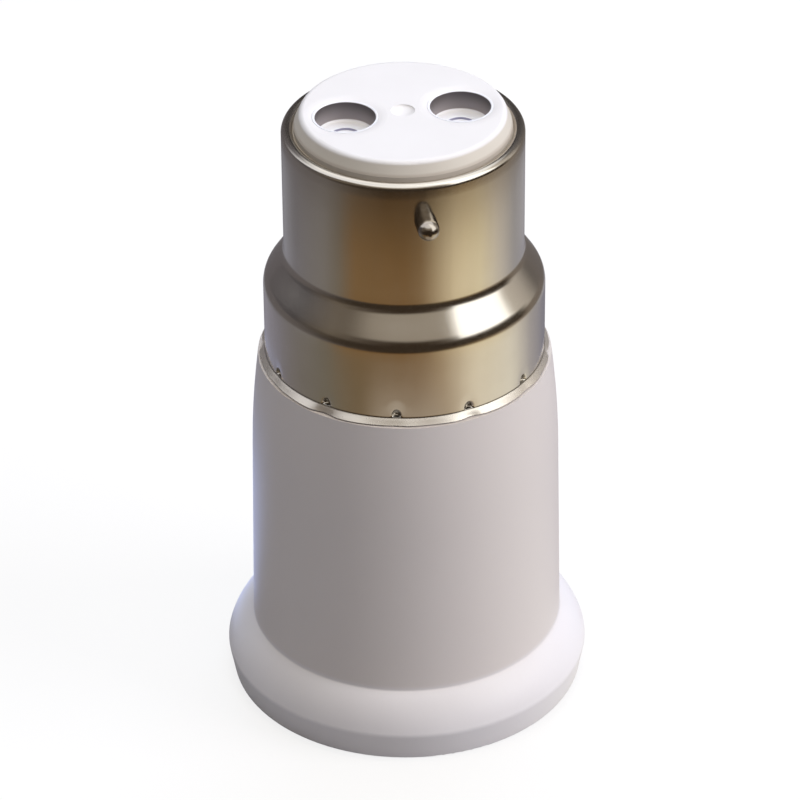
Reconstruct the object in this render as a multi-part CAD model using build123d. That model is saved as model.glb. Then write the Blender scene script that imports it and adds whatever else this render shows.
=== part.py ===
from build123d import *
from itertools import pairwise
from math import hypot
import os

# A straight adapter that fits a two-pin bayonet lampholder and takes an Edison screw lamp. It stands on
# the mouth of its lamp socket. Z is the common axis, the end contacts lie along X, the bayonet pins
# along Y. All sizes are in millimetres, and heights start at the foot.

# Clearances
slide_gap = 0.1
seat_gap = 0.05
rivet_gap = 0.03
head_gap = 0.15

# Lamp socket: a screw shell of thin sheet, cupped at its inner end and riveted to the partition
thread_radius = 13.3
screw_sheet = 0.3
mouth_depth = 4.5
socket_depth = 26.0
cup_step = 2.4
cup_height = 3.9
cup_cone_height = 1.6
cup_round = 0.5
cone_round = 0.8

# Moulded body
body_height = 35.0
body_wall = 1.0
body_taper = 0.35
crown_height = 10.0
flange_height = 6.43
flange_width = 2.49
flange_bow = 0.4
flange_edge_height = 2.89
flange_edge_round = 0.9
rim_taper = 0.53
foot_round = 0.35
neck_round = 0.25
mouth_chamfer = 0.8
partition = 3.0
spigot_wall = 2.1
ledge = 0.15

# Drawn bayonet shell
barrel_radius = 11.0
barrel_height = 12.9
shell_sheet = 0.4
curl_width = 1.1
curl_flat = 0.15
shoulder_width = 1.95
shoulder_height = 2.84
shoulder_round = 2.4
throat_round = 1.6
skirt_height = 8.16
lip_width = 0.5
lip_height = 0.65
lip_round = 0.2
lip_edge_height = 0.25
lip_edge_round = 0.5

# Ring of stake dents that holds the shell's skirt in the body's groove
stake_count = 12
stake_phase = 16.5
stake_radius = 0.75
stake_tip_radius = 0.15
stake_depth = 0.5
stake_overrun = 1.0

# Bayonet pins
pin_radius = 1.0
pin_drop = 3.9
pin_reach = 2.45
pin_head_radius = 1.45
pin_head_thickness = 0.55

# End insulator, a top hat with its brim between the shell's shoulder and the body's spigot
insulator_proud = 1.3
insulator_slope = 0.6
insulator_edge_round = 0.5
insulator_web = 1.1
brim_thickness = 1.2
brim_drop = 0.55
dimple_radius = 1.1
dimple_depth = 0.35

# Contact wells and the cupped eyelets in them, each with a pocket in its floor and a clinched stem
well_radius = 2.75
well_depth = 1.68
well_margin = 0.2
lead_in_depth = 0.12
lead_in_width = 0.8
eyelet_wall = 0.25
eyelet_round = 0.5
pocket_radius = 1.35
pocket_depth = 0.45
stem_radius = 0.8
clinch_width = 0.5
clinch_height = 0.4

# Stamped strips that join the end contacts to the socket's contacts
strip_thickness = 0.4
strip_width = 2.6
strip_round = 0.6
strip_end_round = 1.2
strip_gap = 0.25

# Rivets through the partition
rivet_radius = 0.7
rivet_head_radius = 1.2
rivet_head_height = 0.6
rivet_count = 3

# Sprung centre contact
leaf_thickness = 0.3
leaf_width = 4.0
leaf_round = 1.0
leaf_creepage = 1.4
leaf_foot_margin = 1.5
tongue_clearance = 1.6
tongue_reach = 3.2
tongue_drop = 3.6
tongue_tip_length = 1.8
tongue_tip_rise = 1.0
tongue_tip_round = 1.2
leaf_corner_round = 0.6

# Levels along the axis
cup_foot = socket_depth - cup_height
thread_top = cup_foot - cup_cone_height
partition_top = socket_depth + partition
lip_foot = body_height + seat_gap
lip_top = lip_foot + lip_height
stake_foot = lip_top + lip_round
groove_top = stake_foot + stake_radius + slide_gap
shoulder_foot = body_height + skirt_height
barrel_foot = shoulder_foot + shoulder_height
curl_top = barrel_foot + barrel_height
pin_height = curl_top - pin_drop
brim_top = shoulder_foot - brim_drop
spigot_top = brim_top - brim_thickness
collar_top = curl_top - shell_sheet - slide_gap
collar_foot = pin_height + pin_head_radius + head_gap
top = curl_top + insulator_proud
eyelet_rim = top - lead_in_depth
eyelet_floor = eyelet_rim - well_depth
pocket_foot = eyelet_floor - pocket_depth - eyelet_wall
web_foot = pocket_foot - insulator_web

# Radii of what fits inside what
bore_radius = thread_radius + screw_sheet + slide_gap
cup_radius = thread_radius - cup_step
cup_bore_radius = cup_radius + screw_sheet + slide_gap
neck_radius = bore_radius + body_wall
draft_top_radius = neck_radius - body_taper
flange_radius = neck_radius + flange_width
foot_radius = flange_radius - rim_taper
skirt_radius = barrel_radius + shoulder_width
lip_radius = skirt_radius + lip_width
body_top_radius = lip_radius + ledge
spigot_radius = skirt_radius - shell_sheet - seat_gap
groove_radius = spigot_radius - stake_depth - slide_gap
chamber_radius = spigot_radius - spigot_wall
barrel_bore_radius = barrel_radius - shell_sheet
crown_radius = barrel_bore_radius - pin_head_thickness - head_gap
insulator_neck_radius = barrel_radius - curl_width - seat_gap
insulator_top_radius = insulator_neck_radius - insulator_slope
eyelet_radius = well_radius + eyelet_wall
pocket_outer_radius = pocket_radius + eyelet_wall
clinch_radius = stem_radius + clinch_width
contact_offset = insulator_top_radius - eyelet_radius - lead_in_width - well_margin
line_run = contact_offset + clinch_radius + slide_gap + strip_round
neutral_run = contact_offset - clinch_radius - slide_gap - strip_round - strip_thickness
crown_bore_radius = hypot(line_run, strip_width / 2) + strip_gap
rivet_circle = min(chamber_radius, cup_radius - cup_round) - rivet_head_radius - head_gap
contact_hole_radius = rivet_circle - rivet_head_radius - head_gap
centre_rivet_offset = contact_hole_radius - leaf_creepage - leaf_foot_margin


def sheet_section(points, rounds, thickness):
    """Section of a bent sheet that follows the points, rounded at each corner, on the left of its path."""
    near = [Vector(point) for point in points]
    runs = [(after - before).normalized() for before, after in pairwise(near)]
    sides = [Vector(-run.Y, run.X) for run in runs]
    far = [near[0] + sides[0] * thickness]
    far_rounds = []
    for corner, radius, before, after in zip(near[1:], rounds, sides, sides[1:]):
        far.append(corner + (before + after) * (thickness / (1 + before.dot(after))))
        turns_left = before.cross(after).Z > 0
        far_rounds.append(radius - thickness if turns_left else radius + thickness)
    far.append(near[-1] + sides[-1] * thickness)
    outline = FilletPolyline(*near, radius=rounds) + FilletPolyline(*far, radius=far_rounds)
    outline += [Line(near[0], far[0]), Line(near[-1], far[-1])]
    return make_face(outline.edges())


def rounded(section, corners):
    """The section with a fillet at each named corner."""
    for point, radius in corners:
        section = fillet(section.vertices().sort_by_distance(point)[0], radius)
    return section


def turned(section):
    """Solid of revolution about Z from a section drawn as radius and height."""
    return revolve(Plane.XZ * section, Axis.Z)


def bent_strip(section, width):
    """Strip of the given width about the XZ plane from its bent edge view."""
    return extrude(Plane.XZ * section, amount=width / 2, both=True)


def round_ends(blank, thickness, radius):
    """The bent blank with the corners of its flat ends, its only edges as long as it is thick, rounded."""
    corners = blank.edges().filter_by(lambda edge: abs(edge.length - thickness) < thickness / 10)
    return fillet(corners, radius)


def domed_rivet(foot, head_seat):
    """Rivet along Z: a domed head under the foot, and a flat clinched head over the head seat."""
    profile = Polyline(
        (0, foot - rivet_head_height), (0, head_seat + rivet_head_height),
        (rivet_radius, head_seat + rivet_head_height), (rivet_head_radius, head_seat),
        (rivet_radius, head_seat), (rivet_radius, foot), (rivet_head_radius, foot),
    )
    dome = TangentArc((0, foot - rivet_head_height), (rivet_head_radius, foot), tangent=(1, 0))
    return turned(make_face((profile + dome).edges()))


# Rivet places: the leaf's rivet on the line side, the shell's rivets round the partition
centre_rivet_place = Pos(-centre_rivet_offset, 0, 0)
shell_rivet_places = list(PolarLocations(rivet_circle, rivet_count))
rivet_hole = Cylinder(rivet_radius + rivet_gap, 2 * partition)

# Body: bored for the screw shell below the partition, with a chamber and a spigot above it
draft = Line((neck_radius, flange_height), (draft_top_radius, body_height - crown_height))
crown = TangentArc(draft @ 1, (body_top_radius, body_height), tangent=draft % 1)
flange_face = SagittaArc((flange_radius, flange_edge_height), draft @ 0, -flange_bow)
inside = Polyline(
    (body_top_radius, body_height), (groove_radius, body_height), (groove_radius, groove_top),
    (spigot_radius, groove_top), (spigot_radius, spigot_top), (chamber_radius, spigot_top),
    (chamber_radius, partition_top), (0, partition_top), (0, socket_depth),
    (cup_bore_radius, socket_depth), (cup_bore_radius, cup_foot + screw_sheet),
    (bore_radius, thread_top + screw_sheet), (bore_radius, mouth_chamfer),
    (bore_radius + mouth_chamfer, 0), (foot_radius, 0), (flange_radius, flange_edge_height),
)
body_section = rounded(
    make_face((draft + crown + flange_face + inside).edges()),
    [
        ((flange_radius, flange_edge_height), flange_edge_round),
        ((foot_radius, 0), foot_round),
        ((neck_radius, flange_height), neck_round),
    ],
)
body = turned(body_section)
for place in [centre_rivet_place, *shell_rivet_places]:
    body -= place * Pos(0, 0, socket_depth) * rivet_hole

# Screw shell: the plain sheet at the thread's full radius, cupped towards the partition
screw_shell = turned(
    sheet_section(
        [
            (contact_hole_radius, socket_depth - screw_sheet), (cup_radius, socket_depth - screw_sheet),
            (cup_radius, cup_foot), (thread_radius, thread_top), (thread_radius, mouth_depth),
        ],
        [cup_round, cone_round, cone_round],
        screw_sheet,
    )
)
for place in shell_rivet_places:
    screw_shell -= place * Pos(0, 0, socket_depth) * rivet_hole

# Bayonet shell: one sheet from the flared foot lip, turned down at its edge, to the rolled top lip
bayonet_shell = turned(
    sheet_section(
        [
            (lip_radius, lip_foot), (lip_radius, lip_foot + lip_edge_height), (skirt_radius, lip_top),
            (skirt_radius, shoulder_foot), (barrel_radius, barrel_foot), (barrel_radius, curl_top),
            (barrel_radius - curl_width, curl_top),
        ],
        [lip_edge_round, lip_round, shoulder_round, throat_round, curl_width - curl_flat],
        shell_sheet,
    )
)


def stake_cone(tip, reach):
    """Upper half of a pointed punch that stands on the lip, with its tip at the given radius."""
    slope = (stake_radius - stake_tip_radius) / stake_depth
    cone = Cone(
        stake_tip_radius, stake_tip_radius + slope * reach, reach,
        align=(Align.CENTER, Align.CENTER, Align.MIN),
    )
    size = 2 * (stake_radius + slope * reach)
    upper_half = Box(2 * reach, size, size, align=(Align.CENTER, Align.CENTER, Align.MIN))
    return Pos(tip, 0, stake_foot) * (Rot(0, 90, 0) * cone & upper_half)


stake_tip = skirt_radius - stake_depth
stake_dent = stake_cone(stake_tip, stake_depth + stake_overrun)
stake_bump = stake_cone(stake_tip - shell_sheet, stake_depth + shell_sheet / 2)
stake_turns = [Rot(0, 0, stake_phase + 360 / stake_count * step) for step in range(stake_count)]
bayonet_shell += [turn * stake_bump for turn in stake_turns]
bayonet_shell -= [turn * stake_dent for turn in stake_turns]
pin_hole = Pos(0, 0, pin_height) * Rot(90, 0, 0) * Cylinder(pin_radius + rivet_gap, 3 * barrel_radius)
bayonet_shell -= pin_hole

# Bayonet pins: a riveted head inside the barrel, a round shank and a ball-ended tip outside
pin_tip = barrel_radius + pin_reach
pin_root = barrel_bore_radius - pin_head_thickness
shank_root = pin_root + pin_head_thickness / 2
pin_side = (pin_radius, pin_tip - pin_radius)
pin_outline = Polyline(pin_side, (pin_radius, shank_root), (0, shank_root), (0, pin_tip))
pin_outline += TangentArc((0, pin_tip), pin_side, tangent=(1, 0))
pin_head = Pos(0, 0, pin_root) * Cylinder(
    pin_head_radius, pin_head_thickness, align=(Align.CENTER, Align.CENTER, Align.MIN)
)
barrel_inside = Cylinder(barrel_bore_radius - rivet_gap, 4 * pin_head_radius)
pin = Rot(90, 0, 0) * turned(make_face(pin_outline.edges())) + (Rot(90, 0, 0) * pin_head & barrel_inside)
bayonet_pin_front = Pos(0, 0, pin_height) * pin
bayonet_pin_rear = Rot(0, 0, 180) * bayonet_pin_front

# End insulator: wells with dished lead-ins, a gate dimple, and notches that let its collar pass the pins
collar_radius = barrel_bore_radius - slide_gap
collar_chamfer = collar_radius - insulator_neck_radius
insulator_outline = Polyline(
    (0, top), (insulator_top_radius, top), (insulator_neck_radius, curl_top),
    (insulator_neck_radius, collar_top), (collar_radius, collar_top - collar_chamfer),
    (collar_radius, collar_foot), (crown_radius, collar_foot), (crown_radius, brim_top),
    (spigot_radius, brim_top), (spigot_radius, spigot_top), (crown_bore_radius, spigot_top),
    (crown_bore_radius, web_foot), (0, web_foot), (0, top),
)
insulator_section = rounded(
    make_face(insulator_outline.edges()), [((insulator_top_radius, top), insulator_edge_round)]
)
well_outline = Polyline(
    (eyelet_radius, eyelet_rim), (eyelet_radius, eyelet_floor - eyelet_wall),
    (pocket_outer_radius, eyelet_floor - eyelet_wall), (pocket_outer_radius, pocket_foot),
    (stem_radius + rivet_gap, pocket_foot), (stem_radius + rivet_gap, web_foot), (0, web_foot),
    (0, top), (eyelet_radius + lead_in_width, top),
)
well_outline += TangentArc(well_outline @ 1, well_outline @ 0, tangent=(-1, 0))
well = turned(make_face(well_outline.edges()))
dimple = Pos(0, 0, top) * scale(Sphere(dimple_radius), by=(1, 1, dimple_depth / dimple_radius))
collar_notch = Pos(0, 0, collar_foot) * Box(
    2 * (pin_head_radius + head_gap), 3 * barrel_radius, collar_top - collar_foot,
    align=(Align.CENTER, Align.CENTER, Align.MIN),
) - Cylinder(crown_radius, 3 * top)
end_insulator = turned(insulator_section) - dimple - collar_notch
for side in (-1, 1):
    end_insulator -= Pos(side * contact_offset, 0, 0) * well

# Eyelets: cups whose stems pass through the web and are clinched under the strips
clinch_seat = web_foot - strip_thickness
eyelet_outline = Polyline(
    (well_radius, eyelet_rim), (eyelet_radius, eyelet_rim), (eyelet_radius, eyelet_floor - eyelet_wall),
    (pocket_outer_radius, eyelet_floor - eyelet_wall), (pocket_outer_radius, pocket_foot),
    (stem_radius, pocket_foot), (stem_radius, clinch_seat), (clinch_radius, clinch_seat),
    (stem_radius, clinch_seat - clinch_height), (0, clinch_seat - clinch_height),
    (0, eyelet_floor - pocket_depth), (pocket_radius, eyelet_floor - pocket_depth),
    (pocket_radius, eyelet_floor), (well_radius, eyelet_floor), (well_radius, eyelet_rim),
)
eyelet = turned(
    rounded(make_face(eyelet_outline.edges()), [((well_radius, eyelet_floor), eyelet_round)])
)
contact_eyelet_line = Pos(-contact_offset, 0, 0) * eyelet
contact_eyelet_neutral = Pos(contact_offset, 0, 0) * eyelet

# Strips: a tab under each eyelet, a run down the chamber and a foot over each rivet
strip_end = strip_width / 2
stem_hole = Cylinder(stem_radius + rivet_gap, 2 * insulator_web)


def contact_strip(tab_end, run, foot_end):
    """Strip along X from its tab under the web, down its run and out along its foot on the partition."""
    path = [(tab_end, web_foot), (run, web_foot), (run, partition_top), (foot_end, partition_top)]
    section = sheet_section(path, [strip_round, strip_round], strip_thickness)
    return round_ends(bent_strip(section, strip_width), strip_thickness, strip_end_round)


line_strip = contact_strip(strip_end - contact_offset, -line_run, strip_end - centre_rivet_offset)
line_strip -= Pos(-contact_offset, 0, web_foot) * stem_hole
line_strip -= Pos(-centre_rivet_offset, 0, partition_top) * rivet_hole

neutral_strip = contact_strip(contact_offset + strip_end, neutral_run, rivet_circle + rivet_head_radius)
neutral_strip -= Pos(contact_offset, 0, web_foot) * stem_hole
neutral_strip -= Pos(rivet_circle, 0, partition_top) * rivet_hole

# Rivets
strip_seat = partition_top + strip_thickness
centre_rivet = centre_rivet_place * domed_rivet(socket_depth - leaf_thickness, strip_seat)
shell_rivet_neutral, shell_rivet_left, shell_rivet_right = [
    place * domed_rivet(socket_depth - screw_sheet, seat)
    for place, seat in zip(shell_rivet_places, (strip_seat, partition_top, partition_top))
]

# Centre contact: a leaf riveted at its foot and bent down towards the lamp
foot_end = centre_rivet_offset + leaf_foot_margin
bend = rivet_head_radius + head_gap + tongue_clearance - centre_rivet_offset
leaf_section = sheet_section(
    [
        (tongue_reach + tongue_tip_length, socket_depth - tongue_drop + tongue_tip_rise),
        (tongue_reach, socket_depth - tongue_drop), (bend, socket_depth), (-foot_end, socket_depth),
    ],
    [tongue_tip_round, leaf_round],
    leaf_thickness,
)
centre_contact = round_ends(bent_strip(leaf_section, leaf_width), leaf_thickness, leaf_corner_round)
centre_contact -= centre_rivet_place * Pos(0, 0, socket_depth) * rivet_hole

parts = {
    "body": body,
    "screw_shell": screw_shell,
    "shell_rivet_neutral": shell_rivet_neutral,
    "shell_rivet_left": shell_rivet_left,
    "shell_rivet_right": shell_rivet_right,
    "centre_contact": centre_contact,
    "centre_rivet": centre_rivet,
    "bayonet_shell": bayonet_shell,
    "bayonet_pin_front": bayonet_pin_front,
    "bayonet_pin_rear": bayonet_pin_rear,
    "end_insulator": end_insulator,
    "contact_eyelet_line": contact_eyelet_line,
    "contact_eyelet_neutral": contact_eyelet_neutral,
    "line_strip": line_strip,
    "neutral_strip": neutral_strip,
}
os.makedirs("parts", exist_ok=True)
for name, solid in parts.items():
    export_step(solid, f"parts/{name}.step")
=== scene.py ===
import cmath
import math

import bmesh
import bpy
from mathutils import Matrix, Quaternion, Vector


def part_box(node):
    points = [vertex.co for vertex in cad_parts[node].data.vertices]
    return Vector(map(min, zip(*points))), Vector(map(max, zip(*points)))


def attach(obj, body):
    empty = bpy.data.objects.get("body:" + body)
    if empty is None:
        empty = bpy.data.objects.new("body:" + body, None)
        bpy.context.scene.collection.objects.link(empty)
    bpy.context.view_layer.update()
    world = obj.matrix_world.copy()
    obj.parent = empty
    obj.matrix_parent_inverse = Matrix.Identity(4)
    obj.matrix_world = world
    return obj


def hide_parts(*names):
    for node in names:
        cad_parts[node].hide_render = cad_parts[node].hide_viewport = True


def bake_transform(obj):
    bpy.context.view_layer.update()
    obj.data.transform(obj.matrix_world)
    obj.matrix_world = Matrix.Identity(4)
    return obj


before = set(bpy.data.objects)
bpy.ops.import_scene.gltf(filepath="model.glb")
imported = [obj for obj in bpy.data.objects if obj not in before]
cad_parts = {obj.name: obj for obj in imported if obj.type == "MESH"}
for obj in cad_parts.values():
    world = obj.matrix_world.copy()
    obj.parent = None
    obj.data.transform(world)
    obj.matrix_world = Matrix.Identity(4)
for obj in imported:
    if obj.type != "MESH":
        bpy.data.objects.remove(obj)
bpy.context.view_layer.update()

# Body: one injection moulding in white plastic, bored from below for the lamp socket and flared into
# the flange that it stands on. It comes from a polished mould, so its skin is smooth and half glossy,
# with a faint orange peel. The wall above the flange is painted greyer than the flange as painted
# shade, since the flange faces up into more light.


class Signal:
    """A socket in the node tree of a finish. Arithmetic on signals adds the Math nodes that do it."""

    def __init__(self, tree, socket):
        self.tree = tree
        self.socket = socket

    def node(self, kind, settings, values, output=0):
        """Adds a node, sets it up, gives its sockets their values or links, and returns one output."""
        added = self.tree.nodes.new(kind)
        for name, setting in settings.items():
            if name == "stops":
                first, *inner, last = setting
                ends = added.color_ramp.elements[0], added.color_ramp.elements[1]
                for element, (position, colour) in zip(ends, (first, last)):
                    element.position = position
                    element.color = colour
                for position, colour in inner:
                    added.color_ramp.elements.new(position).color = colour
            else:
                setattr(added, name, setting)
        for name, value in values.items():
            if isinstance(value, Signal):
                self.tree.links.new(value.socket, added.inputs[name])
            else:
                added.inputs[name].default_value = value
        return Signal(self.tree, added.outputs[output]) if added.outputs else None

    def math(self, operation, first, second):
        return self.node("ShaderNodeMath", {"operation": operation}, {0: first, 1: second})

    def __add__(self, other):
        return self.math("ADD", self, other)

    def __radd__(self, other):
        return self.math("ADD", other, self)

    def __sub__(self, other):
        return self.math("SUBTRACT", self, other)

    def __rsub__(self, other):
        return self.math("SUBTRACT", other, self)

    def __mul__(self, other):
        return self.math("MULTIPLY", self, other)

    def __rmul__(self, other):
        return self.math("MULTIPLY", other, self)

    def __truediv__(self, other):
        return self.math("DIVIDE", self, other)

    def __rtruediv__(self, other):
        return self.math("DIVIDE", other, self)


def new_finish(name):
    """An empty finish, and the signal of a point's place on its piece, in metres."""
    finish = bpy.data.materials.new(name)
    finish.use_nodes = True
    finish.node_tree.nodes.clear()
    place = finish.node_tree.nodes.new("ShaderNodeTexCoord").outputs["Object"]
    return finish, Signal(finish.node_tree, place)


def dye(red, green, blue):
    """A colour from its display values, 0 to 255."""
    shares = [value / 255 for value in (red, green, blue)]
    return (*[((share + 0.055) / 1.055) ** 2.4 if share > 0.04 else share / 12.92 for share in shares], 1)


def grain(place, scale, detail=2.0):
    """Soft cloudy noise about 0.5, with this many lumps to a metre."""
    return place.node("ShaderNodeTexNoise", {}, {"Vector": place, "Scale": scale, "Detail": detail})


def rise(signal, low, high):
    """0 below low, 1 above high, and a smooth step between them."""
    return signal.node(
        "ShaderNodeMapRange", {"interpolation_type": "SMOOTHSTEP"},
        {"Value": signal, "From Min": low, "From Max": high},
    )


def blended(share, low, high):
    """The colour low where share is 0, and high where it is 1."""
    return share.node("ShaderNodeMix", {"data_type": "RGBA"}, {0: share, 6: low, 7: high}, 2)


def ridges(height, depth):
    """The normal of a skin with this relief, depth metres from its lowest to its highest point."""
    return height.node("ShaderNodeBump", {}, {"Height": height, "Distance": depth})


def surface(place, **sockets):
    """Ends a finish in one shader with these values and signals."""
    named = {name.replace("_", " "): value for name, value in sockets.items()}
    shader = place.node("ShaderNodeBsdfPrincipled", {}, named)
    place.node("ShaderNodeOutputMaterial", {}, {"Surface": shader})


def along(place, axis):
    """How far a place lies along the X, Y or Z axis."""
    return place.node("ShaderNodeSeparateXYZ", {}, {0: place}, axis)


def dress(finish, *pieces):
    """Gives each piece this finish all over."""
    for piece in pieces:
        piece.data.materials.clear()
        piece.data.materials.append(finish)


mm = 0.001
flange_top = 6.43 * mm
body_shade_foot = flange_top - 0.3 * mm
body_shade_edge = 0.9 * mm
peel_depth = 0.006 * mm
white_plastic, place = new_finish("white_plastic")
clouds = grain(place, 140)
peel = grain(place, 1600, 3)
height = along(place, "Z")
# painted shade: the wall above the flange is greyer than the up-facing flange
body_wall_shade = rise(height, body_shade_foot, body_shade_foot + body_shade_edge)
moulded = blended(clouds, dye(233, 231, 233), dye(238, 237, 239))
surface(
    place,
    Base_Color=blended(body_wall_shade, moulded, dye(223, 217, 213)),
    Roughness=0.34 + 0.1 * clouds,
    Normal=ridges(peel, peel_depth),
)
dress(white_plastic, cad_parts["body"])

# Screw shell: thin nickel-plated sheet, drawn into a cup and rolled into a right-hand lamp thread on
# both of its sides. It drops into the body's bore, and its cup is riveted to the partition.
shell_low, shell_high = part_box("screw_shell")
screw_sheet = 0.3 * mm
thread_radius = shell_high[0] - screw_sheet
thread_pitch = 25.4 / 7 * mm
thread_depth = 1.05 * mm
cup_radius = thread_radius - 2.4 * mm
cup_foot = shell_high[2] - 3.9 * mm
thread_top = cup_foot - 1.6 * mm
contact_hole_radius = 7.7 * mm
run_out = 1.2 * mm
screw_bends = [0.5 * mm, 0.8 * mm, 0.8 * mm]
screw_step = 0.2 * mm
screw_columns = 112
weld_distance = 0.0001 * mm
sharp_angle = math.radians(50)


def straight(start, end, step):
    """Points from start to end no further apart than step, each with the direction to its left."""
    count = math.ceil(abs(end - start) / step)
    left = 1j * (end - start) / abs(end - start)
    return [(start + (end - start) * index / count, left) for index in range(count + 1)]


def bent_path(corners, rounds, step, bend_steps=10):
    """Points along a bent sheet with each corner rounded, each point with the direction to its left."""
    path = []
    start = corners[0]
    for before, corner, after, radius in zip(corners, corners[1:], corners[2:], rounds):
        arriving = (corner - before) / abs(corner - before)
        leaving = (after - corner) / abs(after - corner)
        turn = cmath.phase(leaving / arriving)
        bend = corner - arriving * radius * math.tan(abs(turn) / 2)
        centre = bend + 1j * arriving * math.copysign(radius, turn)
        path += straight(start, bend, step)
        for index in range(1, bend_steps):
            swing = cmath.exp(1j * turn * index / bend_steps)
            path.append((centre + (bend - centre) * swing, 1j * arriving * swing))
        start = corner + leaving * radius * math.tan(abs(turn) / 2)
    return path + straight(start, corners[-1], step)


def smooth_piece(name, points, faces):
    """A mesh piece with smooth faces that meet in a sharp edge where they turn by a large angle."""
    mesh = bpy.data.meshes.new(name)
    work = bmesh.new()
    corners = [work.verts.new(point) for point in points]
    for face in faces:
        work.faces.new([corners[index] for index in face]).smooth = True
    bmesh.ops.remove_doubles(work, verts=work.verts, dist=weld_distance)
    bmesh.ops.recalc_face_normals(work, faces=work.faces)
    work.to_mesh(mesh)
    work.free()
    mesh.set_sharp_from_angle(angle=sharp_angle)
    piece = bpy.data.objects.new(name, mesh)
    bpy.context.scene.collection.objects.link(piece)
    return piece


def sheet_loop(path, thickness):
    """The closed outline of a sheet on the left of its path."""
    return [point for point, left in path] + [point + left * thickness for point, left in reversed(path)]


def spun_piece(name, loop, turns, pressed=None, middle=0.0):
    """A closed loop of radius + height j spun about an upright axis at x = middle, each point pressed."""
    points = []
    for turn in turns:
        for point in loop:
            if pressed:
                point = pressed(point, turn)
            points.append((middle + point.real * math.cos(turn), point.real * math.sin(turn), point.imag))
    size = len(loop)
    faces = []
    for column in range(len(turns)):
        here, there = column * size, (column + 1) % len(turns) * size
        for row in range(size):
            after = (row + 1) % size
            faces.append((here + row, here + after, there + after, there + row))
    return smooth_piece(name, points, faces)


def even_turns(count):
    """Angles that share a full turn evenly."""
    return [math.tau * column / count for column in range(count)]


def eased(value):
    """A smooth step from 0 to 1 over the same span."""
    value = min(max(value, 0), 1)
    return value * value * (3 - 2 * value)


def threaded(point, turn):
    """The sheet pressed inwards between the turns of the thread, which runs out at both ends."""
    height = point.imag
    share = eased((height - shell_low[2]) / run_out) * eased((thread_top + run_out / 2 - height) / run_out)
    wave = 0.5 - 0.5 * math.cos(math.tau * height / thread_pitch - turn)
    return point - thread_depth * share * wave


screw_path = bent_path(
    [
        complex(contact_hole_radius, shell_high[2] - screw_sheet),
        complex(cup_radius, shell_high[2] - screw_sheet),
        complex(cup_radius, cup_foot),
        complex(thread_radius, thread_top),
        complex(thread_radius, shell_low[2]),
    ],
    screw_bends, screw_step,
)
screw_loop = sheet_loop(screw_path, screw_sheet)
screw_shell = spun_piece("screw_shell_rolled", screw_loop, even_turns(screw_columns), threaded)
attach(screw_shell, "adapter")
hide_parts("screw_shell")

screw_plate, place = new_finish("screw_plate")
stains = grain(place, 420, 4)
surface(
    place,
    Base_Color=blended(stains, dye(196, 188, 176), dye(214, 208, 198)),
    Metallic=1.0,
    Roughness=0.2 + 0.22 * stains,
    Normal=ridges(grain(place, 3000), 0.003 * mm),
)
dress(screw_plate, screw_shell)

# Rivets: four soft brass rivets through the partition. Three hold the screw shell's cup and one the foot
# of the centre contact, with domed heads in the socket and clinched heads in the chamber above.
rivet_brass, place = new_finish("rivet_brass")
tarnish = grain(place, 900, 4)
surface(
    place,
    Base_Color=blended(tarnish, dye(178, 140, 78), dye(216, 184, 118)),
    Metallic=1.0,
    Roughness=0.42 - 0.18 * tarnish,
    Normal=ridges(grain(place, 5000), 0.004 * mm),
)
for name in ("shell_rivet_neutral", "shell_rivet_left", "shell_rivet_right", "centre_rivet"):
    dress(rivet_brass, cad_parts[name])

# Centre contact: a leaf of spring bronze, blanked, bent and riveted by its foot to the partition. The
# tongue springs up when a lamp is screwed in and turns about the bend beside the foot.
leaf_low, leaf_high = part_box("centre_contact")
leaf_sheet = 0.3 * mm
leaf_corner = 0.6 * mm
leaf_bends = [1.2 * mm, 1.0 * mm]
leaf_step = 0.15 * mm
tongue_tip = complex(5.0 * mm, leaf_high[2] - 2.6 * mm)
tongue_foot = complex(3.2 * mm, leaf_high[2] - 3.6 * mm)
tongue_bend = complex(-1.85 * mm, leaf_high[2])
leaf_end = complex(leaf_low[0], leaf_high[2])
leaf_path = bent_path([tongue_tip, tongue_foot, tongue_bend, leaf_end], leaf_bends, leaf_step)


def bent_leaf(name, path, thickness, width, corner):
    """A strip that follows its path in the XZ plane, with the corners of both its ends rounded."""
    points = []
    for point, left in path:
        margin = min(abs(point - path[0][0]), abs(point - path[-1][0]), corner)
        half_width = width / 2 - corner + math.sqrt(corner ** 2 - (corner - margin) ** 2)
        for side, skin in ((-1, 0), (1, 0), (1, 1), (-1, 1)):
            edge = point + left * thickness * skin
            points.append((edge.real, side * half_width, edge.imag))
    last = len(points) - 4
    faces = [(0, 1, 2, 3), (last, last + 1, last + 2, last + 3)]
    for start in range(0, last, 4):
        for side in range(4):
            after = (side + 1) % 4
            faces.append((start + side, start + after, start + 4 + after, start + 4 + side))
    return smooth_piece(name, points, faces)


leaf = bent_leaf("centre_contact_leaf", leaf_path, leaf_sheet, leaf_high[1] - leaf_low[1], leaf_corner)
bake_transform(leaf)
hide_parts("centre_contact")


def scaled(place, *shares):
    """A place with its three coordinates multiplied by these shares."""
    return place.node("ShaderNodeVectorMath", {"operation": "MULTIPLY"}, {0: place, 1: shares})


spring_bronze, place = new_finish("spring_bronze")
rolled = grain(scaled(place, 0.06, 1.0, 1.0), 4200, 3)
surface(
    place,
    Base_Color=blended(rolled, dye(176, 118, 74), dye(206, 152, 102)),
    Metallic=1.0,
    Roughness=0.22 + 0.2 * rolled,
    Normal=ridges(rolled, 0.003 * mm),
)
dress(spring_bronze, leaf)

# Contact strips: two stamped brass strips inside the chamber, each clinched under an eyelet's stem and
# riveted to the partition. They carry the current past the partition.
strip_brass, place = new_finish("strip_brass")
tarnish = grain(place, 500, 4)
surface(
    place,
    Base_Color=blended(tarnish, dye(168, 132, 72), dye(204, 172, 106)),
    Metallic=1.0,
    Roughness=0.46 - 0.2 * tarnish,
)
dress(strip_brass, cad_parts["line_strip"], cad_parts["neutral_strip"])
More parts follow.
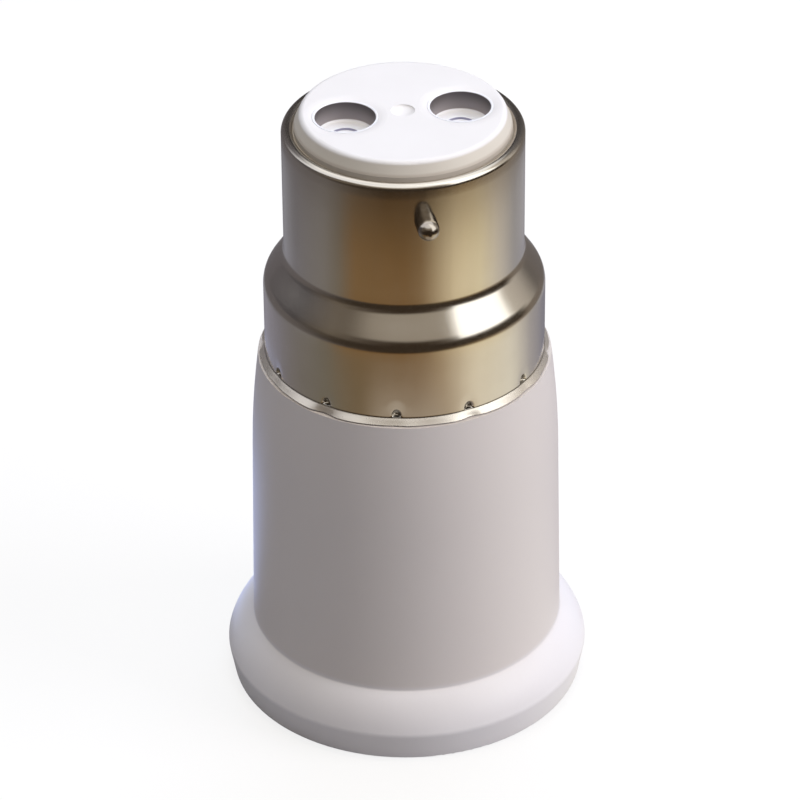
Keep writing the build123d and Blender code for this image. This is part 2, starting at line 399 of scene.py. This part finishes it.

# End insulator: a white moulded top hat that carries the end contacts. Its brim is trapped between the
# bayonet shell's shoulder and the body. Its crown stands proud of the shell's rolled lip. Its side is
# painted warmer and greyer down to the lip, as painted shade with warm light thrown up from the lip, and
# darker still in the groove by the lip, as painted shade.
insulator_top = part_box("end_insulator")[1][2]
crown_edge = 8.7 * mm
crown_fade = 0.3 * mm
side_shade_line = insulator_top - 0.15 * mm
side_shade_fade = 0.25 * mm
groove_shade_line = insulator_top - 0.95 * mm
groove_shade_fade = 0.3 * mm


def length(vector):
    """How long a vector is."""
    return vector.node("ShaderNodeVectorMath", {"operation": "LENGTH"}, {0: vector}, "Value")


insulator_plastic, place = new_finish("insulator_plastic")
clouds = grain(place, 180)
peel = grain(place, 1800, 3)
height = along(place, "Z")
radius = length(scaled(place, 1.0, 1.0, 0.0))
outer = rise(radius, crown_edge, crown_edge + crown_fade)
# painted shade and warm bounce light on the crown's side, and deeper painted shade in the groove by the
# lip
side = outer * (1 - rise(height, side_shade_line - side_shade_fade, side_shade_line))
groove_shade = outer * (1 - rise(height, groove_shade_line - groove_shade_fade, groove_shade_line))
unshaded = blended(clouds, dye(231, 230, 230), dye(236, 235, 236))
side_shaded = blended(side, unshaded, dye(218, 213, 202))
surface(
    place,
    Base_Color=blended(groove_shade, side_shaded, dye(197, 189, 177)),
    Roughness=0.36 + 0.1 * clouds,
    Normal=ridges(peel, peel_depth),
)
dress(insulator_plastic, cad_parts["end_insulator"])

# Contact eyelets: drawn cups of tinned brass in the insulator's wells, one for the line and one for the
# neutral. Plungers in the lampholder press on their floors, and their stems are clinched to the strips.
# Their walls are painted dark grey, darkest at the rim, as painted shade in the wells, and the walls of
# the pockets in their floors are painted blue-grey as painted shade and reflection.
eyelet_low, eyelet_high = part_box("contact_eyelet_line")
eyelet_ease = 0.02 * mm
eyelet_radius = (eyelet_high[0] - eyelet_low[0]) / 2 - eyelet_ease
eyelet_rim = eyelet_high[2] + eyelet_ease
eyelet_floor = eyelet_rim - 1.85 * mm
eyelet_base = complex(eyelet_radius, eyelet_floor - 0.1 * mm)
eyelet_bends = [0.1 * mm, 0.3 * mm, 0.08 * mm, 0.2 * mm]
eyelet_step = 0.4 * mm
eyelet_columns = 72
well_radius = 2.75 * mm
well_foot = 2.6 * mm
pocket_mouth = 1.35 * mm
pocket_foot = 1.3 * mm
pocket_floor = eyelet_floor - 0.3 * mm
pocket_base = complex(1.6 * mm, pocket_floor - 0.25 * mm)
stem_radius = 0.8 * mm
clinch_radius = stem_radius + 0.5 * mm
clinch_seat = eyelet_low[2] + 0.4 * mm
eyelet_inside = bent_path(
    [
        complex(eyelet_radius, eyelet_rim),
        complex(well_radius, eyelet_rim),
        complex(well_foot, eyelet_floor),
        complex(pocket_mouth, eyelet_floor),
        complex(pocket_foot, pocket_floor),
        complex(0, pocket_floor),
    ],
    eyelet_bends, eyelet_step,
)
eyelet_loop = [point for point, left in eyelet_inside] + [
    complex(0, eyelet_low[2]),
    complex(stem_radius, eyelet_low[2]),
    complex(clinch_radius, clinch_seat),
    complex(stem_radius, clinch_seat),
    complex(stem_radius, pocket_base.imag),
    pocket_base,
    complex(pocket_base.real, eyelet_base.imag),
    eyelet_base,
]
eyelet_turns = even_turns(eyelet_columns)
cups = []
for name in ("contact_eyelet_line", "contact_eyelet_neutral"):
    low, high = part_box(name)
    cup = spun_piece(f"{name}_cup", eyelet_loop, eyelet_turns, middle=(low[0] + high[0]) / 2)
    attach(cup, "adapter")
    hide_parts(name)
    cups.append(cup)


def between(signal, low, high, edge):
    """1 from low to high, with soft edges of this width outside them."""
    return rise(signal, low - edge, low) * (1 - rise(signal, high, high + edge))


eyelet_tin, place = new_finish("eyelet_tin")
frost = grain(place, 1500, 4)
height = along(place, "Z")
wall_foot = eyelet_floor + 0.2 * mm
wall_top = eyelet_rim - 0.1 * mm
pocket_top = eyelet_floor - 0.1 * mm
wall = between(height, wall_foot, wall_top, 0.08 * mm)
# painted shade and reflection: the pocket's wall is painted blue-grey, its floor stays white
pocket_shade = between(height, pocket_floor + 0.08 * mm, pocket_top, 0.06 * mm)
tinned = blended(frost, dye(243, 245, 251), dye(249, 250, 254))
# painted shade: the wall is painted dark, darkest toward the rim
rim_shaded_wall = blended(rise(height, eyelet_floor, eyelet_rim), dye(160, 153, 153), dye(96, 91, 91))
tin_and_wall_shade = blended(wall, tinned, rim_shaded_wall)
surface(
    place,
    Base_Color=blended(pocket_shade, tin_and_wall_shade, dye(166, 166, 192)),
    Metallic=0.1 + 0.2 * wall,
    Roughness=0.5 - 0.1 * frost,
    Normal=ridges(frost, 0.004 * mm),
)
dress(eyelet_tin, *cups)

# Bayonet shell: one piece of steel sheet drawn into barrel, coned shoulder and skirt, with its top edge
# rolled in over the insulator, and nickel plated. A ring of punched stakes above the flared foot lip
# holds it to the body. Each pulls the lip in a little, and every other one is struck harder.
cap_low, cap_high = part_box("bayonet_shell")
cap_sheet = 0.4 * mm
lip_radius = cap_high[0]
lip_foot = cap_low[2]
lip_edge = lip_foot + 0.1 * mm
lip_top = lip_foot + 0.66 * mm
skirt_radius = lip_radius - 0.5 * mm
barrel_radius = 11.0 * mm
shoulder_foot = 43.16 * mm
barrel_foot = 46.0 * mm
curl_top = cap_high[2] - 0.22 * mm
curl_width = 1.1 * mm
curl_drop = 0.7 * mm
foot_bends = [0.2 * mm]
foot_step = 0.08 * mm
barrel_bends = [2.4 * mm, 1.8 * mm, 0.55 * mm, 0.5 * mm]
barrel_step = 1.0 * mm
lip_wave = 0.04 * mm
slow_waves = 5
slow_phase = 0.6
quick_waves = 17
quick_share = 0.7
lip_pull = 0.16 * mm
pull_width = 1.7 * mm
pull_mean = 0.75
pull_swing = 0.45
stake_count = 12
stake_pitch = math.tau / stake_count
stake_phase = math.radians(16.5)
stake_foot = lip_top + 0.14 * mm
stake_width = 1.1 * mm
stake_height = 0.85 * mm
stake_depth = 0.35 * mm
stake_core = 0.1
stake_ledge = 0.1 * mm
stake_hollow = 0.05 * mm
hollow_size = 2.2
stake_columns = 12
stake_step = 0.08 * mm / skirt_radius
plain_columns = 10
plain_step = (stake_pitch - 2 * stake_columns * stake_step) / plain_columns


def from_stake(turn):
    """How far round the skirt a turn lies from the middle of the nearest stake."""
    half = stake_pitch / 2
    return ((turn - stake_phase + half) % stake_pitch - half) * skirt_radius


def staked(point, turn):
    """The sheet pressed in over the lip at each stake, in a shallow hollow, and its wavy lip."""
    point = complex(point.real, max(point.imag, lip_foot))
    above = point.imag - stake_foot
    if above > hollow_size * stake_height:
        return point
    distance = math.hypot(from_stake(turn) / (stake_width / 2), max(above, 0) / stake_height)
    slope = eased((distance - stake_core) / (1 - stake_core))
    dent = stake_depth * (1 - slope) * eased(1 + above / stake_ledge)
    hollow = stake_hollow * (1 - eased(distance / hollow_size))
    lip_share = eased((lip_top - point.imag) / (lip_top - lip_foot))
    wave = math.sin(slow_waves * turn + slow_phase) + quick_share * math.sin(quick_waves * turn)
    strike = pull_mean - pull_swing * math.cos(stake_count / 2 * (turn - stake_phase))
    pull = lip_pull * strike * (1 - eased(abs(from_stake(turn)) / pull_width))
    return point - dent - hollow + lip_share * (lip_wave * wave - pull)


stake_top = complex(skirt_radius, stake_foot + hollow_size * stake_height)
cap_path = bent_path(
    [complex(lip_radius, lip_edge), complex(skirt_radius, lip_top), stake_top],
    foot_bends, foot_step,
) + bent_path(
    [
        stake_top,
        complex(skirt_radius, shoulder_foot),
        complex(barrel_radius, barrel_foot),
        complex(barrel_radius, curl_top),
        complex(barrel_radius - curl_width, curl_top),
        complex(barrel_radius - curl_width, curl_top - curl_drop),
    ],
    barrel_bends, barrel_step,
)[1:]
cap_turns = []
for stake in range(stake_count):
    stake_middle = stake_phase + stake_pitch * stake
    stake_end = stake_middle + stake_step * stake_columns
    cap_turns += [stake_middle + stake_step * step for step in range(-stake_columns, stake_columns + 1)]
    cap_turns += [stake_end + plain_step * step for step in range(1, plain_columns)]
cap = spun_piece("bayonet_shell_drawn", sheet_loop(cap_path, cap_sheet), cap_turns, staked)
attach(cap, "adapter")
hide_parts("bayonet_shell")

nickel_plate, place = new_finish("nickel_plate")
streaks = grain(scaled(place, 1.0, 1.0, 0.05), 1800, 3)
haze = grain(place, 260, 3)
cap_x, cap_y, height = [along(place, axis) for axis in "XYZ"]
turn = place.node("ShaderNodeMath", {"operation": "ARCTAN2"}, {0: cap_y, 1: cap_x}) - stake_phase
span = {0: turn, 1: stake_pitch / 2, 2: -stake_pitch / 2}
swing = place.node("ShaderNodeMath", {"operation": "WRAP"}, span)
across = swing * (skirt_radius / (stake_width / 2))
above = (height - stake_foot) / stake_height
from_foot = place.node("ShaderNodeCombineXYZ", {}, {0: across, 1: above})
distance = length(from_foot)
# painted shade: the stake dents and the crease above the lip are painted dark
punched = (1 - rise(distance, 0.7, 1.0)) * rise(above, 0.05, 0.3)
crease = between(height, lip_top, lip_top + 0.06 * mm, 0.08 * mm)
dent_and_crease_shade = place.node("ShaderNodeMath", {"operation": "MAXIMUM"}, {0: punched, 1: 0.6 * crease})
lip = 1 - rise(height, lip_top - 0.12 * mm, lip_top + 0.04 * mm)
plated = blended(haze, dye(204, 198, 188), dye(216, 211, 203))
surface(
    place,
    Base_Color=blended(0.75 * dent_and_crease_shade, blended(lip, plated, dye(226, 220, 210)), dye(52, 46, 40)),
    Metallic=1.0 - 0.3 * lip,
    Roughness=0.13 + 0.05 * streaks + 0.05 * haze + 0.1 * lip,
)
dress(nickel_plate, cap)

# Bayonet pins: two turned brass pins, nickel plated, pushed through the barrel from inside and riveted.
# They hook into the slots of the lampholder.
pin_plate, place = new_finish("pin_plate")
scuffs = grain(place, 1400, 3)
surface(
    place,
    Base_Color=blended(scuffs, dye(160, 152, 142), dye(184, 177, 168)),
    Metallic=1.0,
    Roughness=0.14 + 0.1 * scuffs,
    Normal=ridges(scuffs, 0.001 * mm),
)
dress(pin_plate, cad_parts["bayonet_pin_front"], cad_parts["bayonet_pin_rear"])

# Floor: a plain white sheet, white to the camera and in reflections, that keeps the adapter's shadow. It
# lights the adapter from below only as much as a mid-grey bench top would.
floor_radius = 3.0
shadow_share = 0.2
floor_mesh = bpy.data.meshes.new("floor")
work = bmesh.new()
bmesh.ops.create_circle(work, cap_ends=True, segments=64, radius=floor_radius)
work.to_mesh(floor_mesh)
work.free()
floor = bpy.data.objects.new("floor", floor_mesh)
bpy.context.scene.collection.objects.link(floor)

floor_white, place = new_finish("floor_white")


def seen(start):
    """1 for what the camera sees, straight or in a reflection, and 0 for what only lights the object."""
    sight = 0
    for ray in ("Is Camera Ray", "Is Glossy Ray", "Is Transmission Ray"):
        sight = start.node("ShaderNodeLightPath", {}, {}, ray) + sight
    return start.node("ShaderNodeMath", {"operation": "MINIMUM"}, {0: sight, 1: 1})


paper = place.node("ShaderNodeBsdfDiffuse", {}, {"Color": (0.95, 0.95, 0.95, 1)})
glow = place.node("ShaderNodeEmission", {}, {"Color": (1, 1, 1, 1)})
bench_top = place.node("ShaderNodeBsdfDiffuse", {}, {"Color": (0.42, 0.42, 0.42, 1)})
sheet = place.node("ShaderNodeMixShader", {}, {0: 1 - shadow_share, 1: paper, 2: glow})
ground = place.node("ShaderNodeMixShader", {}, {0: seen(place), 1: bench_top, 2: sheet})
place.node("ShaderNodeOutputMaterial", {}, {"Surface": ground})
dress(floor_white, floor)

# Room in the reflections: a bench and the walls round it, seen in glossy skins and nowhere else. The
# bench is brown in front, grey on the left with a bluish sheen close by, and cream on the right. A bright
# window shines in from the right, a smaller one from the left, and the ceiling is white.
view_turn = math.radians(-10.0)
room_radius = 0.6
bench_lift = 0.2 * mm
room_mesh = bpy.data.meshes.new("room")
work = bmesh.new()
bmesh.ops.create_uvsphere(work, u_segments=96, v_segments=64, radius=room_radius)
for corner in work.verts:
    corner.co.z = max(corner.co.z, bench_lift)
work.to_mesh(room_mesh)
work.free()
room = bpy.data.objects.new("room", room_mesh)
room.rotation_euler.z = view_turn
bpy.context.scene.collection.objects.link(room)
for way in ("camera", "diffuse", "transmission", "volume_scatter", "shadow"):
    setattr(room, f"visible_{way}", False)

room_light, place = new_finish("room_light")
room_x, room_y, room_z = [along(place, axis) for axis in "XYZ"]
# around is 0.5 in front and grows to the right, upwards is 1 overhead, and reach is measured in metres.
compass = place.node("ShaderNodeMath", {"operation": "ARCTAN2"}, {0: room_x, 1: 0 - room_y})
around = compass / math.tau + 0.5
upwards = room_z / room_radius
reach = length(place)


def shades(signal, *stops):
    """A colour that runs through these places and colours."""
    return signal.node("ShaderNodeValToRGB", {"stops": stops}, {0: signal})


bench_near = shades(
    around,
    (0.0, dye(116, 114, 120)), (0.1, dye(152, 150, 162)), (0.18, dye(140, 137, 146)),
    (0.25, dye(132, 127, 124)), (0.33, dye(127, 121, 109)), (0.4, dye(130, 114, 90)),
    (0.52, dye(140, 114, 84)), (0.575, dye(180, 156, 126)), (0.65, dye(253, 243, 222)),
    (0.75, dye(255, 250, 236)), (0.82, dye(186, 182, 184)), (0.9, dye(142, 140, 152)),
    (1.0, dye(116, 114, 120)),
)
bench_far = shades(
    around,
    (0.0, dye(112, 110, 116)), (0.09, dye(150, 150, 158)), (0.17, dye(128, 126, 132)),
    (0.28, dye(140, 136, 134)), (0.33, dye(132, 122, 108)), (0.37, dye(146, 113, 72)),
    (0.5, dye(142, 108, 66)), (0.545, dye(154, 124, 86)), (0.63, dye(252, 234, 194)),
    (0.7, dye(255, 240, 200)), (0.77, dye(222, 214, 202)), (0.84, dye(174, 172, 174)),
    (0.92, dye(176, 174, 180)), (1.0, dye(112, 110, 116)),
)
bench_end = shades(
    around,
    (0.1, dye(112, 108, 112)), (0.3, dye(112, 106, 104)), (0.38, dye(84, 76, 68)),
    (0.46, dye(56, 44, 32)), (0.55, dye(60, 48, 36)), (0.66, dye(140, 116, 84)),
    (0.75, dye(150, 136, 120)), (0.9, dye(120, 114, 112)),
)
dark_brown = dye(60, 50, 40)
dark_side = rise(around, 0.2, 0.42) * (1 - rise(around, 0.77, 0.81))
glare = between(around, 0.46, 0.56, 0.06) * (1 - rise(reach, 66 * mm, 73 * mm))
sheen = between(around, 0.02, 0.15, 0.06) * (1 - rise(reach, 30 * mm, 68 * mm))
bench = blended(rise(reach, 74 * mm, 86 * mm), bench_near, bench_far)
bench = blended(glare, bench, dye(196, 184, 168))
bench = blended(sheen, bench, (1.0, 1.2, 2.0, 1))
bench = blended(rise(reach, 101.5 * mm, 104.5 * mm), bench, bench_end)
bench = blended(dark_side * rise(reach, 135 * mm, 155 * mm), bench, dark_brown)
walls = shades(
    around,
    (0.02, dye(70, 66, 66)), (0.1, dye(106, 102, 106)), (0.24, dye(90, 87, 90)),
    (0.33, dye(118, 108, 96)), (0.42, dye(84, 74, 64)), (0.48, dye(58, 46, 34)),
    (0.56, dye(64, 52, 40)), (0.62, dye(120, 110, 98)), (0.77, dye(216, 208, 196)),
    (0.81, dye(200, 192, 182)), (0.86, dye(118, 112, 108)), (0.92, dye(98, 94, 94)),
    (0.98, dye(70, 66, 66)),
)
skirting = dark_side * (1 - rise(upwards, 0.14, 0.24))
front = between(around, 0.43, 0.6, 0.1) * rise(upwards + 0.4 * (around - 0.5), 0.42, 0.6)
window = between(around, 0.63, 0.745, 0.02) * rise(upwards, 0.22, 0.3)
left_window = between(around, 0.235, 0.3, 0.12) * rise(upwards - 3.1 * (around - 0.25), 0.44, 0.54)
overhead = rise(upwards, 0.68, 0.82)
walls = blended(skirting, walls, dark_brown)
walls = blended(front, walls, dye(170, 160, 146))
walls = blended(overhead, walls, (1.35, 1.35, 1.35, 1))
walls = blended(left_window, walls, (1.15, 1.15, 1.2, 1))
walls = blended(window, walls, (2.0, 1.98, 1.92, 1))
colour = blended(rise(room_z, bench_lift, 2 * bench_lift), bench, walls)
shine = place.node("ShaderNodeEmission", {}, {"Color": colour})
place.node("ShaderNodeOutputMaterial", {}, {"Surface": shine})
room_light.cycles.emission_sampling = "NONE"
dress(room_light, room)

# Light: a soft window on the right, a cool soft light above and behind, a warm one overhead, and a dim
# even sky that is white to the camera.
world = bpy.data.worlds.new("studio")
bpy.context.scene.world = world
world.use_nodes = True
world.node_tree.nodes.clear()
sky = Signal(world.node_tree, world.node_tree.nodes.new("ShaderNodeTexCoord").outputs["Generated"])
dim = sky.node("ShaderNodeBackground", {}, {"Color": (0.154, 0.156, 0.194, 1)})
white = sky.node("ShaderNodeBackground", {}, {"Color": (1, 1, 1, 1)})
studio = sky.node("ShaderNodeMixShader", {}, {0: seen(sky), 1: dim, 2: white})
sky.node("ShaderNodeOutputWorld", {}, {"Surface": studio})
aim = Vector((0, 0, 31.0 * mm))


def soft_light(name, side, height, distance, size, power, colour):
    """A square lamp that faces the adapter, side degrees round to the right and height degrees up."""
    lamp = bpy.data.lights.new(name, "AREA")
    lamp.size = size
    lamp.energy = power
    lamp.color = colour
    holder = bpy.data.objects.new(name, lamp)
    turn = math.radians(side - 90) + view_turn
    up = math.radians(height)
    outwards = Vector((math.cos(turn) * math.cos(up), math.sin(turn) * math.cos(up), math.sin(up)))
    holder.location = aim + distance * outwards
    holder.rotation_euler = outwards.to_track_quat("Z", "Y").to_euler()
    holder.visible_glossy = False
    bpy.context.scene.collection.objects.link(holder)


soft_light("window_light", 77, 28, 0.8, 0.45, 4.35, (1.0, 0.965, 1.0))
soft_light("back_light", 173, 58, 0.9, 0.6, 4.0, (0.66, 0.78, 1.0))
soft_light("overhead_light", 0, 86, 0.9, 0.6, 4.3, (1.0, 0.9, 0.72))

# Camera: a long lens on a stand, a third of a right angle above the floor and a little to the left of the
# front pin. Its small shift and roll frame the adapter.
camera_data = bpy.data.cameras.new("camera")
camera_data.lens = 198.5
camera_data.sensor_width = 36.0
camera_data.shift_x = -0.00625
camera_data.shift_y = -0.01943
camera = bpy.data.objects.new("camera", camera_data)
camera_distance = 410.965 * mm
camera_height = math.radians(32.719)
camera_roll = math.radians(-0.44)
towards = Vector((
    math.sin(view_turn) * math.cos(camera_height), -math.cos(view_turn) * math.cos(camera_height),
    math.sin(camera_height),
))
camera.location = aim + camera_distance * towards
camera.rotation_mode = "QUATERNION"
camera.rotation_quaternion = towards.to_track_quat("Z", "Y") @ Quaternion((0, 0, 1), camera_roll)
bpy.context.scene.collection.objects.link(camera)
bpy.context.scene.camera = camera
bpy.context.scene.view_settings.view_transform = "Standard"
